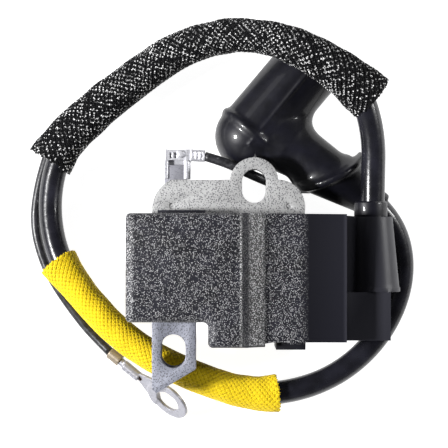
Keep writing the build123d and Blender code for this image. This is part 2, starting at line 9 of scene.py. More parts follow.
import bmesh
import bpy
import numpy as np
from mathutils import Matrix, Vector


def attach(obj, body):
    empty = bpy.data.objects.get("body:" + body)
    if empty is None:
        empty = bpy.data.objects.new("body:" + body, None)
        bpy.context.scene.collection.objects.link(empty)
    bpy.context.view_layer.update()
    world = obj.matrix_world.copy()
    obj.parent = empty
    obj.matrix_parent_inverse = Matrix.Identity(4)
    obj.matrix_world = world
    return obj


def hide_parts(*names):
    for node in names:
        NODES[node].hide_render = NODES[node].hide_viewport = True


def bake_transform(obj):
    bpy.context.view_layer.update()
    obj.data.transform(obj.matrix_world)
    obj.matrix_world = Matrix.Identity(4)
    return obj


MM = 0.001
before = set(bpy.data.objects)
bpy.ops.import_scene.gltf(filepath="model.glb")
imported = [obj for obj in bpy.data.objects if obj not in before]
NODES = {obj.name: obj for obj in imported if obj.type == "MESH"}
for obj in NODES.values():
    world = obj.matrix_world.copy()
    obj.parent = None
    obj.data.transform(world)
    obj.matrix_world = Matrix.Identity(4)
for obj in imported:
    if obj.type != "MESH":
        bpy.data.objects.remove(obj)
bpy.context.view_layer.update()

# ------------------------------------------------------------------ routes of the cords
# The points are the CAD's, but the lead and its yellow sleeve rise up to 4 mm more at the mounting tab.
LEAD_D, WIRE_D = 0.005, 0.002
BLACK_R, YELLOW_R = 0.0043, 0.0036
WIRE_STEP = 0.0008
TAIL_POINTS = 19  # steps of the wire's line in the short tail that reaches the flag receptacle
LEAD_ROUTE = [
    (0.0228, 0.005, 0.015), (0.0229, 0.0172, 0.015), (0.023, 0.0299, 0.0173),
    (0.0191, 0.04, 0.0196), (0.0092, 0.0474, 0.0207), (-0.0039, 0.0509, 0.0161),
    (-0.0173, 0.0474, 0.009), (-0.0303, 0.039, 0.0048), (-0.0424, 0.0286, 0.0042),
    (-0.046, 0.0161, 0.0032), (-0.0439, 0.0033, 0.005), (-0.0367, -0.0066, 0.0075),
    (-0.0267, -0.0159, 0.0085), (-0.014, -0.0221, 0.0082), (-0.0016, -0.0262, 0.006),
    (0.01, -0.0247, 0.0045), (0.0196, -0.0199, 0.0027), (0.0267, -0.0121, 0.0026),
    (0.0306, -0.0024, 0.0026), (0.03, 0.0072, 0.0036), (0.025, 0.0146, 0.0062),
    (0.0156, 0.0212, 0.0092), (0.0061, 0.0276, 0.0087),
]
WIRE_ROUTE = [
    (-0.012, 0.0247, 0.0119), (-0.007, 0.0232, 0.0123), (-0.0023, 0.0208, 0.0122),
    (0.003, 0.0188, 0.0076), (0.01, 0.0178, 0.0018), (0.017, 0.019, 0.0011),
    (0.0226, 0.0228, 0.0012), (0.0247, 0.0284, 0.0056), (0.0225, 0.0348, 0.0132),
    (0.0186, 0.0404, 0.0162), (0.009, 0.0474, 0.017), (-0.0039, 0.051, 0.012),
    (-0.0176, 0.0478, 0.0049), (-0.0312, 0.0401, 0.0014), (-0.0446, 0.0302, 0.0011),
    (-0.0481, 0.0196, 0.0011), (-0.0492, 0.0105, 0.0011), (-0.0472, 0.0025, 0.0011),
    (-0.044, -0.0036, 0.0011), (-0.0383, -0.0114, 0.0011), (-0.0348, -0.015, 0.0016),
    (-0.0326, -0.0171, 0.0023),
]
BLACK_ROUTE = [
    (0.0224, 0.0364, 0.0176), (0.0175, 0.0408, 0.0193), (0.0085, 0.0463, 0.0198), (-0.0005, 0.0497, 0.0167),
    (-0.0095, 0.0499, 0.0122), (-0.0185, 0.0472, 0.008), (-0.0275, 0.0412, 0.005), (-0.036, 0.0346, 0.0044),
    (-0.0425, 0.0284, 0.0044), (-0.0454, 0.0238, 0.0044),
]
YELLOW_ROUTE = [
    (-0.0434, 0.0023, 0.0053), (-0.0367, -0.0066, 0.0075), (-0.0267, -0.0159, 0.0085),
    (-0.014, -0.0221, 0.0082), (-0.0016, -0.0262, 0.006), (0.0034, -0.0256, 0.0055),
]

# ------------------------------------------------------------------ landmarks for the finishes
# X and Y of the housing and the core, where a finish changes and where painted highlights, painted
# reflection and painted shade begin and end.
HOUSING_LEFT_X, HOUSING_TOP_Y, FOOT_TOP_Y = -0.0277, 0.0127, -0.0137
BEFORE_RIDGE_X, BEYOND_SLOPE_X = -0.005, 0.002
GRAIN_END_X, SMOOTH_X, TOWER_X = 0.0072, 0.008, 0.018
LEG_TOP_Y = -0.005


# ------------------------------------------------------------------ materials
class Finish:
    """A principled material, and the few node set-ups that the finishes here are made of."""

    def __init__(self, name, colour, roughness, metallic=0.0):
        self.material = bpy.data.materials.new(name)
        self.material.use_nodes = True
        self.nodes = self.material.node_tree.nodes
        self.links = self.material.node_tree.links
        self.shader = self.nodes["Principled BSDF"]
        self.set("Base Color", (*colour, 1))
        self.set("Roughness", roughness)
        self.set("Metallic", metallic)
        self.place = self.nodes.new("ShaderNodeTexCoord").outputs["Object"]
        self.normal = None

    def set(self, socket, value):
        """Set one input of the shader."""
        self.shader.inputs[socket].default_value = value

    def node(self, kind, inputs=(), **settings):
        """Add a node, with settings, and with inputs that are values or other nodes' outputs."""
        node = self.nodes.new("ShaderNode" + kind)
        for key, value in settings.items():
            setattr(node, key, value)
        for key, value in dict(inputs).items():
            if isinstance(value, bpy.types.NodeSocket):
                self.links.new(value, node.inputs[key])
            else:
                node.inputs[key].default_value = value
        return node

    def stretched(self, scale, turn=(0, 0, 0)):
        """Return the place scaled by three numbers, after a turn in degrees."""
        angles = [math.radians(a) for a in turn]
        return self.node("Mapping", {"Vector": self.place, "Scale": scale, "Rotation": angles}).outputs[0]

    def noise(self, size, detail=2.0, rough=0.5, place=None):
        """Return noise whose features are about size metres across."""
        inputs = {"Vector": place or self.place, "Scale": 1 / size, "Detail": detail, "Roughness": rough}
        return self.node("TexNoise", inputs).outputs["Fac"]

    def specks(self, size, least, most):
        """Return round dots, one to a cell of that size.

        A cell's dot is off if its random number is below least, and full above most.
        """
        cell = self.node("TexVoronoi", {"Vector": self.place, "Scale": 1 / size})
        strength = self.ramp(cell.outputs["Color"], (least, 0.0), (most, 1.0))
        near = self.ramp(cell.outputs["Distance"], (0.28, 1.0), (0.52, 0.0))
        return self.mix(1.0, strength, near, "MULTIPLY")

    def fade(self, value, start, end):
        """Return 0 where the value is at start, going evenly to 1 where it is at end."""
        return self.node("MapRange", {"Value": value, "From Min": start, "From Max": end}).outputs[0]

    def ramp(self, factor, *stops):
        """Return a colour ramp of (position, grey or colour) stops."""
        node = self.node("ValToRGB", {"Fac": factor})
        line = node.color_ramp.elements
        while len(line) < len(stops):
            line.new(0.5)
        for element, (position, colour) in zip(line, stops):
            element.position = position
            element.color = (*colour, 1) if hasattr(colour, "__len__") else (colour, colour, colour, 1)
        return node.outputs["Color"]

    def mix(self, factor, a, b, blend="MIX"):
        """Return the mix of two colours: a where the factor is 0, the blend with b where it is 1."""
        node = self.nodes.new("ShaderNodeMix")
        node.data_type = "RGBA"
        node.blend_type = blend
        for index, value in ((0, factor), (6, a), (7, b)):
            if isinstance(value, bpy.types.NodeSocket):
                self.links.new(value, node.inputs[index])
            elif index == 0:
                node.inputs[index].default_value = value
            else:
                node.inputs[index].default_value = (*value, 1)
        return node.outputs[2]

    def paint(self, colour):
        """Take the base colour from a node's output."""
        self.links.new(colour, self.shader.inputs["Base Color"])

    def rough(self, factor, low, high):
        """Vary the roughness from low to high with a 0..1 factor."""
        node = self.node("MapRange", {"Value": factor, "To Min": low, "To Max": high})
        self.links.new(node.outputs[0], self.shader.inputs["Roughness"])

    def bump(self, height, distance, strength=1.0):
        """Add relief of that many metres. Calls add up."""
        inputs = {"Height": height, "Distance": distance, "Strength": strength}
        if self.normal:
            inputs["Normal"] = self.normal
        self.normal = self.node("Bump", inputs).outputs[0]
        self.links.new(self.normal, self.shader.inputs["Normal"])


def spark_eroded_plastic():
    """Housing: black plastic with a sparkling grain on the coil side, smooth near the tower.

    On the ridge and on the slope beside it the grain is denser and brighter on a lighter ground, a
    painted highlight, with painted shade in the dimmer band between them; a painted highlight also
    runs along the left edge.  From the grain's end towards the tower the smooth side is painted
    lighter, a painted reflection, with a painted highlight line on the wall's edge beside the tower,
    and the tower is painted lighter where the housing shades it.  The foot has no grain.
    """
    f = Finish("housing_black_plastic", (0.02, 0.02, 0.026), 0.45)
    fine = f.noise(0.00015, 1.0)
    where = f.node("SeparateXYZ", {0: f.place}).outputs
    rough_side = f.fade(where["X"], GRAIN_END_X + 2 * MM, GRAIN_END_X)
    above_foot = f.fade(where["Y"], FOOT_TOP_Y - 0.4 * MM, FOOT_TOP_Y)
    below_edge = f.fade(where["Y"], HOUSING_TOP_Y + 0.2 * MM, HOUSING_TOP_Y)
    grained = f.mix(1.0, rough_side, f.mix(1.0, above_foot, below_edge, "MULTIPLY"), "MULTIPLY")
    # Painted highlights on the ridge and on the slope: more and brighter specks on a lighter ground.
    # Between them, dimmer specks paint shade on the steep band.
    across = f.fade(where["X"], BEFORE_RIDGE_X, BEYOND_SLOPE_X)
    painted_highlight_bands = f.ramp(across, (0.01, 0.0), (0.04, 1.0), (0.07, 1.0), (0.1, 0.0),
                   (0.24, 0.0), (0.4, 1.0), (0.64, 1.0), (0.8, 0.0))
    strength = f.ramp(across, (0.0, 0.55), (0.02, 0.55), (0.045, 1.0), (0.08, 1.0), (0.11, 0.25),
                      (0.26, 0.3), (0.32, 1.0), (0.7, 1.0), (0.78, 0.55))
    # A painted highlight along the housing's rounded left edge.
    painted_left_highlight = f.fade(where["X"], HOUSING_LEFT_X + 1.9 * MM, HOUSING_LEFT_X + 0.9 * MM)
    strength = f.mix(painted_left_highlight, strength, (0.9, 0.9, 0.9))
    dots = f.mix(painted_highlight_bands, f.specks(0.00022, 0.44, 0.6), f.specks(0.00027, 0.16, 0.4))
    share = f.mix(1.0, dots, grained, "MULTIPLY")
    cloud = f.ramp(f.noise(0.004, 2), (0.35, (0.006, 0.006, 0.009)), (0.7, (0.013, 0.013, 0.021)))
    # The smooth side's ground: a painted reflection that grows lighter towards the wall beside the tower, a
    # painted highlight line on that wall's edge, and the tower painted lighter where the housing shades it.
    right = f.fade(where["X"], SMOOTH_X, TOWER_X)
    smooth = f.ramp(right, (0.0, (0.005, 0.005, 0.008)), (0.8, (0.011, 0.011, 0.017)),
                    (0.86, (0.03, 0.03, 0.04)), (0.9, (0.014, 0.014, 0.02)), (1.0, (0.026, 0.026, 0.034)))
    # Under the ridge's and the slope's painted highlights the ground is painted lighter too.
    base = f.mix(rough_side, smooth, f.mix(painted_highlight_bands, cloud, (0.07, 0.07, 0.07)))
    f.paint(f.mix(share, base, f.mix(1.0, strength, (0.98, 0.98, 1.0), "MULTIPLY")))
    f.rough(rough_side, 0.42, 0.5)
    f.bump(share, 0.00006)
    f.bump(fine, 0.00001)
    f.set("Specular IOR Level", 0.35)
    return f.material


def lamination_steel():
    """Core plates: pale cold-rolled steel with small dark pits; the lower leg is the same steel painted
    darker and bluer, painted shade and a painted reflection.
    """
    f = Finish("core_lamination_steel", (0.4, 0.4, 0.42), 0.45, 0.15)
    pits = f.specks(0.0003, 0.2, 0.42)
    # Where the lower leg starts: below it the same steel is painted darker and bluer, painted shade and a
    # painted reflection.
    painted_leg_shade_mask = f.fade(f.node("SeparateXYZ", {0: f.place}).outputs["Y"], LEG_TOP_Y, LEG_TOP_Y - 5 * MM)
    clouds = f.noise(0.006, 3)
    ear = f.ramp(clouds, (0.3, (0.36, 0.36, 0.36)), (0.7, (0.41, 0.41, 0.41)))
    # The lower leg's colours: painted shade and a painted reflection of the ear's steel.
    leg = f.ramp(clouds, (0.3, (0.24, 0.25, 0.3)), (0.7, (0.31, 0.32, 0.38)))
    f.paint(f.mix(f.mix(0.9, (0, 0, 0), pits), f.mix(painted_leg_shade_mask, ear, leg), (0.06, 0.06, 0.07)))
    f.rough(clouds, 0.6, 0.45)
    f.bump(pits, 0.00003)
    return f.material


def moulded_rubber():
    """Boot and collar: black rubber, satin, with faint flow marks."""
    f = Finish("boot_rubber", (0.016, 0.016, 0.022), 0.36)
    flow = f.noise(0.0035, 3)
    f.paint(f.ramp(flow, (0.3, (0.003, 0.003, 0.005)), (0.75, (0.008, 0.008, 0.014))))
    f.rough(f.noise(0.0012, 3), 0.36, 0.51)
    f.bump(f.noise(0.0009, 3), 0.00002)
    f.set("Specular IOR Level", 0.28)
    f.set("Coat Weight", 0.25)
    f.set("Coat Roughness", 0.08)
    return f.material


def silicone_jacket():
    """Plug lead: glossy black jacket with tiny extrusion ripples."""
    f = Finish("lead_silicone", (0.012, 0.012, 0.017), 0.24)
    ripple = f.noise(0.0016, 3)
    f.paint(f.ramp(f.noise(0.005, 2), (0.3, (0.007, 0.007, 0.009)), (0.75, (0.018, 0.018, 0.026))))
    f.set("Specular IOR Level", 0.35)
    f.rough(ripple, 0.18, 0.34)
    f.bump(ripple, 0.00004)
    f.bump(f.noise(0.00035, 2), 0.000006)
    f.set("Coat Weight", 0.2)
    f.set("Coat Roughness", 0.1)
    return f.material


def vinyl_jacket():
    """Stop wire: black vinyl with scuffs."""
    f = Finish("wire_vinyl", (0.02, 0.02, 0.023), 0.35)
    scuff = f.noise(0.0008, 3)
    f.paint(f.ramp(scuff, (0.35, (0.010, 0.010, 0.012)), (0.68, (0.035, 0.035, 0.04)),
                   (0.76, (0.2, 0.2, 0.21))))
    f.rough(scuff, 0.25, 0.5)
    f.bump(scuff, 0.00004)
    return f.material


def tin_plate(name="tin_plate", tint=(0.33, 0.33, 0.37)):
    """Terminals: tinned brass with handling scratches."""
    f = Finish(name, tint, 0.4, 0.4)
    marks = f.noise(0.0006, 3, 0.6, f.stretched((1.0, 4.0, 1.0), (0, 0, 35)))
    dark = tuple(c * 0.5 for c in tint)
    f.paint(f.ramp(marks, (0.3, dark), (0.48, tint)))
    f.rough(f.noise(0.0005, 2), 0.3, 0.5)
    f.bump(marks, 0.00002)
    return f.material


def yarn(name, dark, light, roughness, sheen):
    """Braid yarn: dark where the "shade" attribute is low and light where it is high, with filaments.

    That attribute is painted light: the black yarn's light colour is a painted highlight, and the
    yellow yarn's dark colour is painted shade.
    """
    f = Finish(name, light, roughness)
    shade = f.node("Attribute", attribute_name="shade").outputs["Fac"]
    cloud = f.noise(0.0005, 2)
    share = f.node("Math", {0: shade, 1: cloud}, operation="MULTIPLY").outputs[0]
    f.paint(f.ramp(share, (0.08, dark), (0.36, light)))
    f.bump(f.noise(0.00012, 2), 0.00003)
    f.set("Specular IOR Level", sheen)
    f.set("Sheen Weight", sheen / 2)
    f.set("Sheen Roughness", 0.5)
    return f.material


def enamelled_copper():
    """Windings: turns of enamelled wire as stripes."""
    f = Finish("enamelled_copper", (0.6, 0.25, 0.08), 0.3, 0.9)
    turns = f.node("TexWave", {"Vector": f.place, "Scale": 900.0, "Distortion": 0.6}, bands_direction="Y")
    f.paint(f.ramp(turns.outputs["Fac"], (0.2, (0.25, 0.08, 0.02)), (0.7, (0.75, 0.34, 0.12))))
    f.bump(turns.outputs["Fac"], 0.00006)
    return f.material


def speckled(name, dark, light, size, roughness, metallic=0.0):
    """Plain hidden or small pieces: two tones of one colour with a little relief."""
    f = Finish(name, light, roughness, metallic)
    cloud = f.noise(size, 3)
    f.paint(f.ramp(cloud, (0.35, dark), (0.7, light)))
    f.rough(f.noise(size / 3, 2), roughness * 0.8, min(1.0, roughness * 1.25))
    f.bump(cloud, size * 0.02)
    return f.material


FINISHES = {
    "housing": spark_eroded_plastic(),
    "steel": lamination_steel(),
    "rubber": moulded_rubber(),
    "lead": silicone_jacket(),
    "wire": vinyl_jacket(),
    "tin": tin_plate(),
    "bright tin": tin_plate("bright_tin_plate", (0.62, 0.62, 0.66)),
    "crimp": tin_plate("aged_tin_plate", (0.3, 0.25, 0.19)),
    "strands": speckled("dull_copper", (0.03, 0.015, 0.01), (0.14, 0.07, 0.045), 0.0004, 0.4, 0.3),
    # The black yarn's light colour is a painted highlight on each float; the yellow yarn's dark colour is
    # painted shade where its yarns dip under.
    "black yarn": yarn("black_yarn", (0.003, 0.003, 0.004), (0.98, 0.98, 0.98), 0.5, 0.08),
    "yellow yarn": yarn("yellow_yarn", (0.4, 0.24, 0.004), (0.78, 0.57, 0.012), 0.5, 0.1),
    "copper": enamelled_copper(),
    "epoxy": speckled("potting_epoxy", (0.008, 0.008, 0.01), (0.022, 0.022, 0.026), 0.003, 0.2),
    "nylon": speckled("natural_nylon", (0.55, 0.5, 0.4), (0.75, 0.72, 0.62), 0.002, 0.45),
    "board": speckled("board_green", (0.01, 0.1, 0.03), (0.03, 0.2, 0.06), 0.001, 0.35),
    "capacitor": speckled("capacitor_red", (0.3, 0.04, 0.02), (0.5, 0.09, 0.04), 0.002, 0.25),
    "component": speckled("component_black", (0.01, 0.01, 0.01), (0.04, 0.04, 0.04), 0.0008, 0.45),
    "brass": speckled("stamped_brass", (0.5, 0.34, 0.12), (0.8, 0.6, 0.28), 0.0015, 0.3, 1.0),
    "spring": speckled("spring_steel", (0.3, 0.3, 0.3), (0.6, 0.6, 0.6), 0.001, 0.3, 1.0),
}


# ------------------------------------------------------------------ making and keeping pieces
WELD_WITHIN = 1e-6
FLAT_UNDER, BEVEL_OVER, SHARP_OVER = math.radians(1), math.radians(28), math.radians(38)


def keep(piece, finish, slot, *nodes, body="root"):
    """Give a finished piece its material and its body, and hide the CAD nodes it stands for.

    slot is not used.
    """
    piece.data.materials.clear()
    piece.data.materials.append(FINISHES[finish])
    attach(piece, body)
    if nodes:
        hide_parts(*nodes)
    return piece


def new_piece(name, data):
    """Put an object with that data in the scene."""
    piece = bpy.data.objects.new(name, data)
    bpy.context.scene.collection.objects.link(piece)
    return piece


def mesh_piece(name, points, faces, smooth=True):
    """Put a mesh of those points and faces in the scene."""
    mesh = bpy.data.meshes.new(name)
    mesh.from_pydata([tuple(p) for p in points], [], faces)
    mesh.validate()
    mesh.update()
    if smooth:
        mesh.shade_smooth()
    return new_piece(name, mesh)


def bake_modifiers(piece):
    """Apply every modifier of a piece to its mesh."""
    bpy.context.view_layer.update()
    graph = bpy.context.evaluated_depsgraph_get()
    mesh = bpy.data.meshes.new_from_object(piece.evaluated_get(graph), depsgraph=graph)
    piece.modifiers.clear()
    piece.data = mesh
    return piece


def softened(node, name, edge, segments=3):
    """Return a copy of a CAD node with its sharp edges rounded by edge metres."""
    piece = new_piece(name, NODES[node].data.copy())
    mesh = bmesh.new()
    mesh.from_mesh(piece.data)
    bmesh.ops.remove_doubles(mesh, verts=mesh.verts, dist=WELD_WITHIN)
    bmesh.ops.dissolve_limit(mesh, angle_limit=FLAT_UNDER, verts=mesh.verts, edges=mesh.edges)
    mesh.to_mesh(piece.data)
    mesh.free()
    bevel = piece.modifiers.new("edges", "BEVEL")
    bevel.width = edge
    bevel.segments = segments
    bevel.limit_method = "ANGLE"
    bevel.angle_limit = BEVEL_OVER
    bevel.use_clamp_overlap = True
    bake_modifiers(piece)
    piece.data.shade_smooth()
    piece.data.set_sharp_from_angle(angle=SHARP_OVER)
    return piece


def route_curve(name, route):
    """Return a curve object whose one spline has the route's points as its control points."""
    curve = bpy.data.curves.new(name, "CURVE")
    curve.dimensions = "3D"
    spline = curve.splines.new("NURBS")
    spline.points.add(len(route) - 1)
    for point, place in zip(spline.points, route):
        point.co = (*place, 1)
    spline.order_u = 3
    spline.use_endpoint_u = True
    spline.resolution_u = 14
    return new_piece(name, curve)


def read_line(route, step):
    """Return points about step metres apart along a route's smooth line."""
    helper = route_curve("helper", route)
    helper.data.splines[0].resolution_u = 40
    bpy.context.view_layer.update()
    graph = bpy.context.evaluated_depsgraph_get()
    mesh = bpy.data.meshes.new_from_object(helper.evaluated_get(graph), depsgraph=graph)
    line = np.array([v.co for v in mesh.vertices])
    bpy.data.objects.remove(helper)
    travel = np.concatenate([[0], np.cumsum(np.linalg.norm(np.diff(line, axis=0), axis=1))])
    count = max(2, round(travel[-1] / step) + 1)
    wanted = np.linspace(0, travel[-1], count)
    return np.stack([np.interp(wanted, travel, line[:, axis]) for axis in range(3)], axis=1)


def frames_along(line):
    """Return, for each point of a line, a level vector sideways and one upward, both across the line."""
    ahead = np.gradient(line, axis=0)
    ahead /= np.linalg.norm(ahead, axis=1)[:, None]
    side = np.cross(ahead, np.array([0, 0, 1.0]))
    side /= np.linalg.norm(side, axis=1)[:, None]
    return side, np.cross(side, ahead)


def tube(name, line, radius, around):
    """Return a closed mesh tube along a line, with that many faces around it."""
    side, up = frames_along(line)
    angles = np.linspace(0, 2 * math.pi, around, endpoint=False)
    ring = side[:, None] * np.cos(angles)[None, :, None] + up[:, None] * np.sin(angles)[None, :, None]
    points = (line[:, None] + ring * radius).reshape(-1, 3)
    faces = []
    for i in range(len(line) - 1):
        for j in range(around):
            k = (j + 1) % around
            faces.append((i * around + j, i * around + k, (i + 1) * around + k, (i + 1) * around + j))
    faces.append(tuple(range(around))[::-1])
    faces.append(tuple((len(line) - 1) * around + j for j in range(around)))
    return mesh_piece(name, points, faces)


# ------------------------------------------------------------------ braided sleeves
BRAID_STEP = 0.0004
FRAY = 0.006  # the share of a sleeve's length by which a yarn's end may fall short
# SHADE_POWER shapes the floats' painted highlights.
SHADE_POWER = 1.3  # above 1, more of the floats are darker
LINING_WALL = 0.05  # the lining's thickness, as a share of the sleeve's radius
# crest and faint set the weave's painted light: painted highlights on the black floats' tops, and painted
# shade where the yellow yarns dip under.
BLACK_WEAVE = dict(yarns=38, swing=0.0001, width=0.00033, thick=0.0003, crest=0.7, faint=0.0, samples=4)
YELLOW_WEAVE = dict(yarns=36, swing=0.00006, width=0.00064, thick=0.0002, crest=-3.0, faint=0.85, samples=5)


def braid(name, line, shape, turn, seed, yarns, swing, width, thick, crest, faint, samples):
    """Return one family of a braid's yarns: closed ribbons that spiral round a line, over and under.

    shape(t, angle) gives the surface's offset sideways and up at the share t of the length.
    turn is +1 or -1, swing the height of the over and under wave, samples the points to a crossing.
    The "shade" attribute is 0 where that wave, from -1 to 1, is at crest or lower.  It rises to a
    random number at the wave's top, drawn once for each float, and higher where faint is higher.
    It is painted light: a painted highlight on each float's top, and painted shade where yarns dip under.
    """
    side, up = frames_along(line)
    total = np.linalg.norm(np.diff(line, axis=0), axis=1).sum()
    shades = random.Random(seed)
    radius = np.hypot(*shape(0.5, np.array([0.0])))[0]
    crossing = 2 * math.pi * radius / yarns
    count = int(total / crossing * samples) + 1
    points, faces, tones = [], [], []
    for k in range(yarns):
        t = np.linspace(shades.uniform(0, FRAY), 1 - shades.uniform(0, FRAY), count)
        travel = t * total
        at = t * (len(line) - 1)
        low = np.clip(at.astype(int), 0, len(line) - 2)
        part = (at - low)[:, None]
        centre, sides, ups = [v[low] * (1 - part) + v[low + 1] * part for v in (line, side, up)]
        angle = 2 * math.pi * (k + 0.25 * (1 - turn)) / yarns + turn * travel / radius
        wave = np.cos(math.pi * (travel / crossing * 2 + k) + (0 if turn > 0 else math.pi))
        u, v = shape(t, angle)
        outward = sides * u[:, None] + ups * v[:, None]
        outward /= np.linalg.norm(outward, axis=1)[:, None]
        middle = centre + sides * u[:, None] + ups * v[:, None] + outward * (wave * swing)[:, None]
        way = np.gradient(middle, axis=0)
        way /= np.linalg.norm(way, axis=1)[:, None]
        across = np.cross(way, outward)
        across /= np.linalg.norm(across, axis=1)[:, None]
        ring = [across * width / 2, outward * thick / 2, -across * width / 2, -outward * thick / 2]
        base = 4 * len(points)
        for i in range(count):
            points.append([middle[i] + r[i] for r in ring])
        many = int(total / crossing) + yarns
        floats = np.array([shades.uniform(faint, 1.0) ** SHADE_POWER for _ in range(many)])
        strength = floats[np.floor(travel / crossing + k / 2 + 0.5).astype(int)]
        # Each float's painted highlight at its top, and painted shade where it dips under.
        tones.append(np.repeat(np.clip((wave - crest) / (1 - crest), 0, 1) * strength, 4))
        last = base + 4 * (count - 1)
        for here in range(base, last, 4):
            for j in range(4):
                beside = (j + 1) % 4
                faces.append((here + j, here + 4 + j, here + 4 + beside, here + beside))
        faces.append((base, base + 1, base + 2, base + 3))
        faces.append((last + 3, last + 2, last + 1, last))
    piece = mesh_piece(name, np.array(points).reshape(-1, 3), faces)
    shade = piece.data.attributes.new("shade", "FLOAT", "POINT")
    shade.data.foreach_set("value", np.concatenate(tones).astype(np.float32))
    return piece


def sleeve_shape(radius, widths, heights, ripple, seed):
    """Return a function of the share of the length and the angle that gives a sleeve's section.

    widths and heights are (share, factor) tables; ripple is the height of its slack wrinkles.
    """
    phases = random.Random(seed)
    waves = [(phases.uniform(5, 16), phases.randint(1, 3), phases.uniform(0, 6.3)) for _ in range(6)]

    def section(t, angle):
        wide = np.interp(t, *zip(*widths))
        high = np.interp(t, *zip(*heights))
        slack = sum(np.sin(f * 2 * math.pi * t + n * angle + p) for f, n, p in waves) / len(waves)
        r = radius * (1 + ripple * slack)
        return r * wide * np.cos(angle), r * high * np.sin(angle)

    return section


# ------------------------------------------------------------------ camera, lights and floor
CAMERA_AT = (-0.008, 0.0105, 0.35)
LIGHTS_AIM = Vector((0, 0, 0.01))
FLOOR_REACH = 1.5


def add_camera():
    """Add the camera, straight above the module."""
    camera = bpy.data.cameras.new("camera")
    camera.lens = 129.5
    camera.sensor_width = 36
    camera.clip_start = 0.01
    holder = new_piece("camera", camera)
    holder.location = CAMERA_AT
    bpy.context.scene.camera = holder


def add_light(name, place, size, power):
    """Add a white rectangular lamp that faces the module."""
    lamp = bpy.data.lights.new(name, "AREA")
    lamp.shape = "RECTANGLE"
    lamp.size, lamp.size_y = size
    lamp.energy = power
    holder = new_piece(name, lamp)
    holder.location = place
    holder.rotation_mode = "QUATERNION"
    holder.rotation_quaternion = (LIGHTS_AIM - Vector(place)).to_track_quat("-Z", "Y")


def studio_world():
    """Return a light tent: bright near the horizon, dim overhead, so that level faces stay dark."""
    world = bpy.data.worlds.new("studio")
    world.use_nodes = True
    nodes, links = world.node_tree.nodes, world.node_tree.links
    place = nodes.new("ShaderNodeTexCoord")
    split = nodes.new("ShaderNodeSeparateXYZ")
    ramp = nodes.new("ShaderNodeValToRGB")
    links.new(place.outputs["Generated"], split.inputs[0])
    links.new(split.outputs["Z"], ramp.inputs["Fac"])
    low, high = ramp.color_ramp.elements
    low.position, low.color = 0.4, (1.0, 1.0, 1.0, 1)
    high.position, high.color = 0.7, (0.06, 0.06, 0.07, 1)
    links.new(ramp.outputs["Color"], nodes["Background"].inputs["Color"])
    nodes["Background"].inputs["Strength"].default_value = 0.2
    return world


def add_studio():
    """Add the lights, the world and a pale floor that glows, as a light table does."""
    add_light("key_left", place=(-0.40, -0.005, 0.345), size=(0.07, 0.07), power=4.9)
    add_light("softbox_upper_left", place=(-0.28, 0.31, 0.33), size=(0.2, 0.16), power=0.15)
    add_light("strip_right", place=(0.43, 0.1, 0.22), size=(0.05, 0.2), power=1.3)
    bpy.context.scene.world = studio_world()
    bpy.context.scene.view_settings.view_transform = "Standard"
    corners = [(x * FLOOR_REACH, y * FLOOR_REACH, 0) for x, y in ((-1, -1), (1, -1), (1, 1), (-1, 1))]
    floor = mesh_piece("floor", corners, [(0, 1, 2, 3)], smooth=False)
    f = Finish("studio_floor", (0.4, 0.4, 0.4), 0.6)
    f.paint(f.ramp(f.noise(0.2, 2), (0.3, 0.4), (0.7, 0.42)))
    f.set("Emission Color", (1, 1, 1, 1))
    f.set("Emission Strength", 0.96)
    floor.data.materials.append(f.material)


# ------------------------------------------------------------------ plug lead, stop wire and sleeves
def add_lead():
    """Return the plug lead, a round curve along its route."""
    lead = route_curve("plug_lead", LEAD_ROUTE)
    lead.data.bevel_depth = LEAD_D / 2
    lead.data.bevel_resolution = 8
    lead.data.use_fill_caps = True
    return keep(lead, "lead", "lead_jacket", "ht_lead")


def add_wire():
    """Return the stop wire, the line it follows, and the short tail that reaches the flag receptacle."""
    line = read_line(WIRE_ROUTE, WIRE_STEP)
    wire = tube("stop_wire_run", line[TAIL_POINTS:], WIRE_D / 2, around=16)
    keep(wire, "wire", "wire_jacket", "stop_wire")
    tail = tube("stop_wire_tail", line[:TAIL_POINTS + 1], WIRE_D / 2, around=16)
    tail.data.materials.append(FINISHES["wire"])
    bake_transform(tail)
    return wire, line[TAIL_POINTS:], tail


# How much wider and higher than its radius each sleeve is, as (share of the length, factor).
BLACK_WIDTHS = [
    (0, 1.2), (0.055, 1.07), (0.14, 0.93), (0.22, 0.86), (0.28, 0.79), (0.34, 0.75), (0.41, 0.8),
    (0.48, 0.81), (0.58, 0.88), (0.71, 0.92), (0.83, 0.97), (0.95, 1.02), (1, 1.15),
]
BLACK_HEIGHTS = [(0, 0.9), (0.1, 0.95), (0.3, 1.0), (1, 0.98)]
YELLOW_WIDTHS = [
    (0, 1.17), (0.05, 1.03), (0.1, 0.95), (0.16, 0.89), (0.5, 0.87), (0.8, 0.88), (0.9, 0.95),
    (0.96, 1.04), (1, 1.1),
]
YELLOW_HEIGHTS = [(0, 1.1), (0.1, 0.98), (0.9, 0.98), (1, 1.05)]


def add_sleeve(colour, route, shape, weave, seed, lining_share, lining_shade):
    """Return a braided sleeve's pieces: two families of yarns, and the lining inside them.

    The lining is at lining_share of the sleeve's size, with lining_shade as its "shade": painted shade
    in the gaps of the yellow sleeve, and the black yarn's own black in the black one.
    """
    line = read_line(route, BRAID_STEP)
    pieces = []
    for index, (family, turn) in enumerate((("yarns", 1), ("cross_yarns", -1))):
        piece = braid(f"{colour}_sleeve_{family}", line, shape, turn, seed + index, **weave)
        pieces.append(keep(piece, f"{colour} yarn", f"{colour}_braid", f"{colour}_sleeve"))
    lining = sleeve_lining(f"{colour}_sleeve_lining", line, shape, lining_share, lining_shade)
    pieces.append(keep(lining, f"{colour} yarn", f"{colour}_braid"))
    return pieces


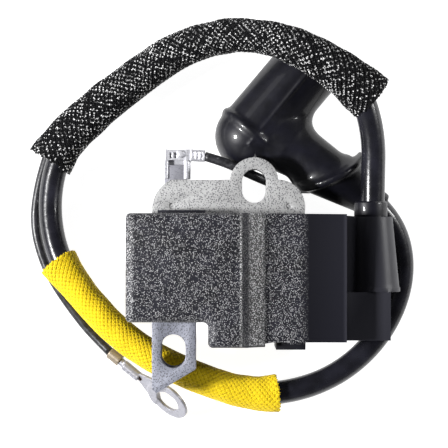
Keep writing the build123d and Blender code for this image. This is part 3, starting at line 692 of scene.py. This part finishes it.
def sleeve_lining(name, line, shape, share, shade_value):
    """Return the thin closed tube inside a braid, at that share of its size, with one "shade" value of
    painted light.
    """
    centre = line[::4]
    side, up = frames_along(centre)
    t = np.linspace(0, 1, len(centre))
    around = 48
    rings = []
    for factor in (share, share - LINING_WALL):
        for j in range(around):
            u, v = shape(t, np.full(len(t), 2 * math.pi * j / around))
            rings.append(centre + (side * u[:, None] + up * v[:, None]) * factor)
    rings = np.array(rings).reshape(2, around, len(t), 3)
    points = rings.reshape(-1, 3)

    def at(skin, j, i):
        return (skin * around + j % around) * len(t) + i

    faces = []
    for j in range(around):
        for i in range(len(t) - 1):
            faces.append((at(0, j, i), at(0, j + 1, i), at(0, j + 1, i + 1), at(0, j, i + 1)))
            faces.append((at(1, j, i + 1), at(1, j + 1, i + 1), at(1, j + 1, i), at(1, j, i)))
        for i, order in ((0, 1), (len(t) - 1, -1)):
            faces.append((at(0, j, i), at(1, j, i), at(1, j + 1, i), at(0, j + 1, i))[::order])
    piece = mesh_piece(name, points, faces)
    shade = piece.data.attributes.new("shade", "FLOAT", "POINT")
    shade.data.foreach_set("value", np.full(len(piece.data.vertices), shade_value, np.float32))
    return piece


# ------------------------------------------------------------------ solids from distance fields
def joined(a, b, round_by):
    """Return the union of two distance fields, with a fillet of about round_by metres."""
    share = np.clip(0.5 + 0.5 * (b - a) / round_by, 0, 1)
    return b * (1 - share) + a * share - round_by * share * (1 - share)


def common(a, b, round_by):
    """Return what two distance fields have in common, with its edge rounded by about round_by."""
    return -joined(-a, -b, round_by)


def round_bar(points, start, end, start_r, end_r, edge=0.0004):
    """Return the distance field of a round bar or cone from start to end, with rounded rims."""
    start, end = np.array(start), np.array(end)
    length = np.linalg.norm(end - start)
    way = (end - start) / length
    offset = points - start
    travel = offset @ way
    across = np.linalg.norm(offset - travel[..., None] * way, axis=-1)
    radius = start_r + (end_r - start_r) * np.clip(travel / length, 0, 1)
    return common(across - radius, np.abs(travel - length / 2) - length / 2, edge)


def surface_net(name, values, low, step):
    """Return a mesh of a distance grid's zero surface, one point in each cell that it crosses."""
    cells = tuple(n - 1 for n in values.shape)
    total, count = np.zeros(cells + (3,)), np.zeros(cells)

    def corner(offset):
        return values[tuple(slice(o, o + n) for o, n in zip(offset, cells))]

    for axis in range(3):
        one, two = [a for a in range(3) if a != axis]
        for i in (0, 1):
            for j in (0, 1):
                offset = [0, 0, 0]
                offset[one], offset[two] = i, j
                a = corner(offset)
                offset[axis] = 1
                b = corner(offset)
                crossed = (a < 0) != (b < 0)
                share = np.where(crossed, a / np.where(crossed, a - b, 1), 0)
                total[..., axis] += share
                total[..., one] += i * crossed
                total[..., two] += j * crossed
                count += crossed
    used = count > 0
    index = np.full(cells, -1)
    index[used] = np.arange(used.sum())
    points = (np.argwhere(used) + total[used] / count[used][:, None]) * step + np.array(low)
    faces = []
    for axis in range(3):
        one, two = [(axis + 1) % 3, (axis + 2) % 3]
        first = [slice(1, n - 1) for n in values.shape]
        first[axis] = slice(0, values.shape[axis] - 1)
        second = list(first)
        second[axis] = slice(1, values.shape[axis])
        a, b = values[tuple(first)] < 0, values[tuple(second)] < 0
        at = np.argwhere(a != b)
        outward = a[tuple(at.T)]
        at += [0 if k == axis else 1 for k in range(3)]
        ring = []
        for back_one, back_two in ((1, 1), (0, 1), (0, 0), (1, 0)):
            cell = at.copy()
            cell[:, one] -= back_one
            cell[:, two] -= back_two
            ring.append(index[tuple(cell.T)])
        quads = np.stack(ring, axis=1)
        quads[~outward] = quads[~outward][:, ::-1]
        faces += quads.tolist()
    return mesh_piece(name, points, faces)


def block(points, low, high, edge=0.0001):
    """Return the distance field of a box between two corners in millimetres, with rounded edges."""
    low, high = np.array(low) * MM, np.array(high) * MM
    away = np.abs(points - (low + high) / 2) - (high - low) / 2
    return common(common(away[..., 0], away[..., 1], edge), away[..., 2], edge)


def fine_grid(low, high, step):
    """Return a grid of points between two corners in millimetres, and its first corner in metres."""
    low, high = np.array(low) * MM, np.array(high) * MM
    counts = np.ceil((high - low) / step).astype(int)
    lines = [low[k] + step * np.arange(counts[k]) for k in range(3)]
    return np.stack(np.meshgrid(*lines, indexing="ij"), -1), low


def rod(points, start, end, radius, edge=0.0001):
    """Return the distance field of a round bar whose ends and radius are in millimetres."""
    return round_bar(points, np.array(start) * MM, np.array(end) * MM, radius * MM, radius * MM, edge)


# ------------------------------------------------------------------ plug boot
BOOT_AT, BOOT_WAY = Vector((-0.0012, 0.0307, 0.008)), Vector((0.646, 0.7634, 0.0))
BOOT_SIDE = Vector((0.7634, -0.646, 0.0))
ARM_R, BEAD_R, SOCKET_R, MOUTH = 0.00725, 0.0079, 0.0048, 0.019
NECK_FROM, NECK_WAY = Vector((-0.00017, 0.03192, 0.009)), Vector((0.786, -0.619, 0.02))
NECK_LENGTH, NECK_ROOT_R, NECK_R = 0.022, 0.0057, 0.0054
FLANGE_AT, FLANGE_WAY = Vector((0.0142, 0.0224, 0.0094)), Vector((0.432, -0.855, -0.288)).normalized()
FLANGE_R, FLANGE_THICK = 0.0076, 0.001
CONE_R, TIP_AT, TIP_R = 0.0079, Vector((0.0244, 0.0145, 0.0063)), 0.0034
RIM, SEAM, FLANGE_FILLET = 0.0003, 0.0004, 0.0025
RIDGE_R = 0.00035
# The gap between the flange and the arm's side: a wedge from its corner, against OUT and along ALONG.
NOTCH_AT, NOTCH_OUT, NOTCH_ALONG = (0.0191, 0.0240), (0.762, -0.648), (0.625, 0.781)


def add_boot():
    """The elbow boot, one rubber moulding: domed arm with its bead, filleted neck, flange and cone."""
    step = 0.0003
    grid, low = fine_grid((-10.5, 10.0, -0.5), (29.5, 52.0, 17.5), step)

    def on_arm(travel, aside=0.0, up=0.0):
        return BOOT_AT + BOOT_WAY * travel + BOOT_SIDE * aside + Vector((0, 0, up))

    # The arm, its domed end and the bead round that end.
    arm = round_bar(grid, on_arm(-0.0025), on_arm(MOUTH), ARM_R, ARM_R, 0.0006)
    dome = np.linalg.norm(grid - np.array(on_arm(-0.0021)), axis=-1) - ARM_R - 0.0001
    bead = round_bar(grid, on_arm(-0.0020), on_arm(-0.0007), BEAD_R, BEAD_R, 0.0009)
    body = joined(joined(arm, dome, SEAM), bead, 0.0009)

    # The neck, up to the flange.  Its fillet is wide beside the arm and narrow over the arm's top.
    neck = round_bar(grid, NECK_FROM, NECK_FROM + NECK_WAY * NECK_LENGTH, NECK_ROOT_R, NECK_R)
    before_flange = (grid - np.array(FLANGE_AT + FLANGE_WAY * FLANGE_THICK)) @ np.array(FLANGE_WAY)
    aside = (grid - np.array(BOOT_AT)) @ np.array(BOOT_SIDE)
    fillet = np.interp(aside, (0.0035, 0.0075), (0.001, 0.0045))
    body = joined(body, common(neck, before_flange, RIM), fillet)

    # The mould's parting ridge along the top of the arm.
    ridge_start, ridge_end = on_arm(-0.004, 0.0012, ARM_R - 0.0002), on_arm(0.0155, 0.0009, ARM_R)
    body = joined(body, round_bar(grid, ridge_start, ridge_end, RIDGE_R, RIDGE_R), SEAM)

    # The flange and the cone in front of it, both cut away at the notch, and the cone's lip.
    flange = round_bar(grid, FLANGE_AT, FLANGE_AT + FLANGE_WAY * FLANGE_THICK, FLANGE_R, FLANGE_R, RIM)
    corner = grid[..., :2] - np.array(NOTCH_AT)
    notch = np.maximum(corner @ np.array(NOTCH_OUT), -(corner @ np.array(NOTCH_ALONG)))
    body = joined(body, common(flange, -notch, RIM), FLANGE_FILLET)
    tip_way = (TIP_AT - FLANGE_AT).normalized()
    cone = round_bar(grid, FLANGE_AT - tip_way * 0.004, TIP_AT, CONE_R, TIP_R - 0.0004)
    cone = common(common(cone, -before_flange, RIM), -notch, RIM)
    body = joined(body, cone, SEAM)
    lip = round_bar(grid, TIP_AT - tip_way * 0.0004, TIP_AT + tip_way * 0.0008, TIP_R, TIP_R, RIM)
    body = joined(body, lip, SEAM)

    # The socket for the spark plug, open at the mouth.
    socket = round_bar(grid, on_arm(-0.004), on_arm(MOUTH + 0.002), SOCKET_R, SOCKET_R, RIM)
    body = common(body, -socket, SEAM)
    boot = surface_net("plug_boot", body, low, step)
    return keep(boot, "rubber", "boot_rubber", "boot_shell")


# ------------------------------------------------------------------ terminals
def add_receptacle():
    """The flag receptacle: a sheet with two rolled rails, a cross bar and a crimp barrel to one side."""
    step = 0.00009
    grid, low = fine_grid((-21.3, 19.4, 10.2), (-11.4, 27.0, 13.5), step)

    # The sheet, and the two hollow rails rolled from its edges.
    body = block(grid, (-20.7, 19.9, 10.5), (-15.4, 26.1, 10.9))
    for x in (-20.3, -15.8):
        rail = common(rod(grid, (x, 19.9, 11.45), (x, 26.1, 11.45), 0.82),
                      -rod(grid, (x, 19.0, 11.45), (x, 27.0, 11.45), 0.42), 0.00005)
        body = joined(body, rail, 0.0001)

    # The cross bar with its raised round boss, the way in for the blade, two slots and a groove.
    body = joined(body, block(grid, (-20.3, 23.9, 11.9), (-14.8, 26.1, 12.25)), 0.0002)
    body = joined(body, rod(grid, (-17.0, 25.2, 11.9), (-17.0, 25.2, 12.75), 0.75, 0.0004), 0.0004)
    body = common(body, -block(grid, (-20.62, 18.0, 10.93), (-15.68, 27.2, 11.87)), 0.00005)
    for x in (-19.2, -18.2):
        body = common(body, -block(grid, (x - 0.22, 24.3, 11.5), (x + 0.22, 25.5, 13.0)), 0.00008)
    body = common(body, -rod(grid, (-20.0, 25.8, 12.3), (-17.8, 25.8, 12.3), 0.12), 0.00005)

    # The neck and the crimp barrel, with the tool's grooves, the seam and the bore for the wire.
    body = joined(body, block(grid, (-15.9, 24.2, 11.0), (-13.9, 25.9, 12.0), 0.0003), 0.0002)
    body = joined(body, rod(grid, (-14.9, 24.9, 11.9), (-11.95, 24.75, 11.9), 1.28, 0.0002), 0.0003)
    for x, depth in ((-14.2, 0.16), (-13.4, 0.12), (-12.7, 0.16)):
        groove = rod(grid, (x, 23.4, 13.0 + depth), (x, 26.3, 13.0 + depth), 0.3)
        body = common(body, -groove, 0.0001)
    body = common(body, -rod(grid, (-14.6, 24.95, 13.15), (-11.5, 24.8, 13.15), 0.14), 0.00006)
    body = common(body, -rod(grid, (-12.6, 24.8, 11.9), (-11.0, 24.75, 11.9), 0.98), 0.00006)
    piece = surface_net("stop_receptacle", body, low, step)
    return keep(piece, "bright tin", "tinned_metal", "flag_receptacle", body="receptacle")


RING_AT, RING_WAY = Vector((-0.0199, -0.0273, 0.0044)), Vector((0.772, -0.624, 0.13)).normalized()
RING_ROLL = math.radians(57)
STRAND_R = 0.00016
# Each bare strand's offset across and up from the barrel's axis, and its extra reach, in millimetres.
STRANDS = [(0, 0.3, 0.1), (0.3, 0.1, -0.1), (-0.3, 0.1, 0), (0.15, 0.5, -0.2), (-0.2, 0.5, 0)]


def add_ring_terminal():
    """The earth terminal: a ring on a flared tongue, and a crimp barrel whose strands show at its end."""
    side = Vector((0, 0, 1)).cross(RING_WAY).normalized()
    normal = RING_WAY.cross(side) * math.cos(RING_ROLL) - side * math.sin(RING_ROLL)
    across = normal.cross(RING_WAY)

    def placed(x, y, z):
        return RING_AT + RING_WAY * x + across * y + normal * z

    # The solids are made about the ring's centre, with RING_WAY as X, and moved into place at the end.
    step = 0.0001
    grid, low = fine_grid((-17.2, -5.3, -1.8), (5.2, 5.3, 1.8), step)

    # The ring on its flared tongue.
    ring = rod(grid, (0, 0, -0.35), (0, 0, 0.35), 4.85, 0.00015)
    flare = np.abs(grid[..., 1]) - (0.0011 + np.clip(grid[..., 0] + 0.0085, 0, 0.006) * 0.55)
    tongue = common(common(flare, block(grid, (-12.5, -4, -0.32), (-2.5, 4, 0.32)), 0.0002), flare, 0.0001)
    body = joined(ring, tongue, 0.0012)
    body = common(body, -rod(grid, (0, 0, -2), (0, 0, 2), 2.8), 0.0001)

    # The barrel on the strands, with the crimping tool's grooves and the seam.
    crimp = rod(grid, (-12.2, 0, 0.25), (-8.0, 0, 0.25), 1.08, 0.0002)
    for x in (-11.2, -10.1, -9.0):
        crimp = common(crimp, -rod(grid, (x, -2, 1.42), (x, 2, 1.42), 0.26), 0.0001)
    crimp = common(crimp, -rod(grid, (-12.4, 0, 1.3), (-7.9, 0, 1.3), 0.13), 0.00005)
    body = joined(body, crimp, 0.0003)

    # The crimp on the wire's jacket, and the bar between the two crimps.
    jacket_crimp = rod(grid, (-16.4, 0, 0.1), (-13.4, 0, 0.1), 1.3, 0.0002)
    jacket_crimp = common(jacket_crimp, -rod(grid, (-16.8, 0, 1.5), (-13.0, 0, 1.5), 0.3), 0.0001)
    body = joined(body, rod(grid, (-13.9, 0, 0.1), (-11.9, 0, 0.2), 0.85), 0.0003)
    pieces = []
    for name, field, finish in (("body", body, "tin"), ("jacket_crimp", jacket_crimp, "crimp")):
        piece = surface_net(f"ring_terminal_{name}", field, low, step)
        for vertex in piece.data.vertices:
            vertex.co = placed(*vertex.co)
        pieces.append(keep(piece, finish, "tinned_metal", "ring_terminal"))
    for k, (aside, up, reach) in enumerate(STRANDS):
        lay = ((-8.6, aside, up), (-7.9, aside, up), (-7.3 + reach, aside * 1.3, up))
        line = np.array([placed(x * MM, y * MM, z * MM) for x, y, z in lay])
        strand = tube(f"bare_strand_{k}", line, STRAND_R, around=8)
        pieces.append(keep(strand, "strands", "tinned_metal"))
    return pieces


# ------------------------------------------------------------------ build
add_camera()
lead = add_lead()
wire, wire_line, wire_tail = add_wire()
black_shape = sleeve_shape(BLACK_R, BLACK_WIDTHS, BLACK_HEIGHTS, ripple=0.05, seed=3)
yellow_shape = sleeve_shape(YELLOW_R, YELLOW_WIDTHS, YELLOW_HEIGHTS, ripple=0.02, seed=5)
sleeves = add_sleeve("black", BLACK_ROUTE, black_shape, BLACK_WEAVE, seed=11,
                     lining_share=0.93, lining_shade=0.0)
# The yellow lining's lower "shade" is painted shade in the gaps between its yarns.
sleeves += add_sleeve("yellow", YELLOW_ROUTE, yellow_shape, YELLOW_WEAVE, seed=21,
                      lining_share=0.965, lining_shade=0.75)
boot = add_boot()
ring_pieces = add_ring_terminal()
add_receptacle()
housing = softened("housing_shell", "housing", edge=0.00045)
core = softened("core_laminations", "core_plates", edge=0.00012, segments=2)
collar = softened("lead_grommet", "lead_collar", edge=0.0002)
blade = softened("stop_tab", "stop_blade", edge=0.0001)
keep(housing, "housing", "housing_plastic", "housing_shell")
keep(core, "steel", "core_steel", "core_laminations")
keep(collar, "rubber", "boot_rubber", "lead_grommet")
keep(blade, "tin", "tinned_metal", "stop_tab")

CARRIED = {
    "potting_resin": "epoxy", "primary_bobbin": "nylon", "primary_winding": "copper",
    "secondary_bobbin": "nylon", "secondary_winding": "copper", "charge_coil_bobbin": "nylon",
    "charge_coil_winding": "copper", "circuit_board": "board", "storage_capacitor": "capacitor",
    "thyristor": "component", "rectifier_diodes": "component", "resistors": "component",
    "control_chip": "component", "ground_strap": "brass", "stop_link": "brass", "ht_bus": "brass",
    "ht_contact_pin": "brass", "boot_terminal": "brass", "boot_contact_spring": "spring",
}
for node_name, finish in CARRIED.items():
    data = NODES[node_name].data
    data.materials.clear()
    data.materials.append(FINISHES[finish])

add_studio()
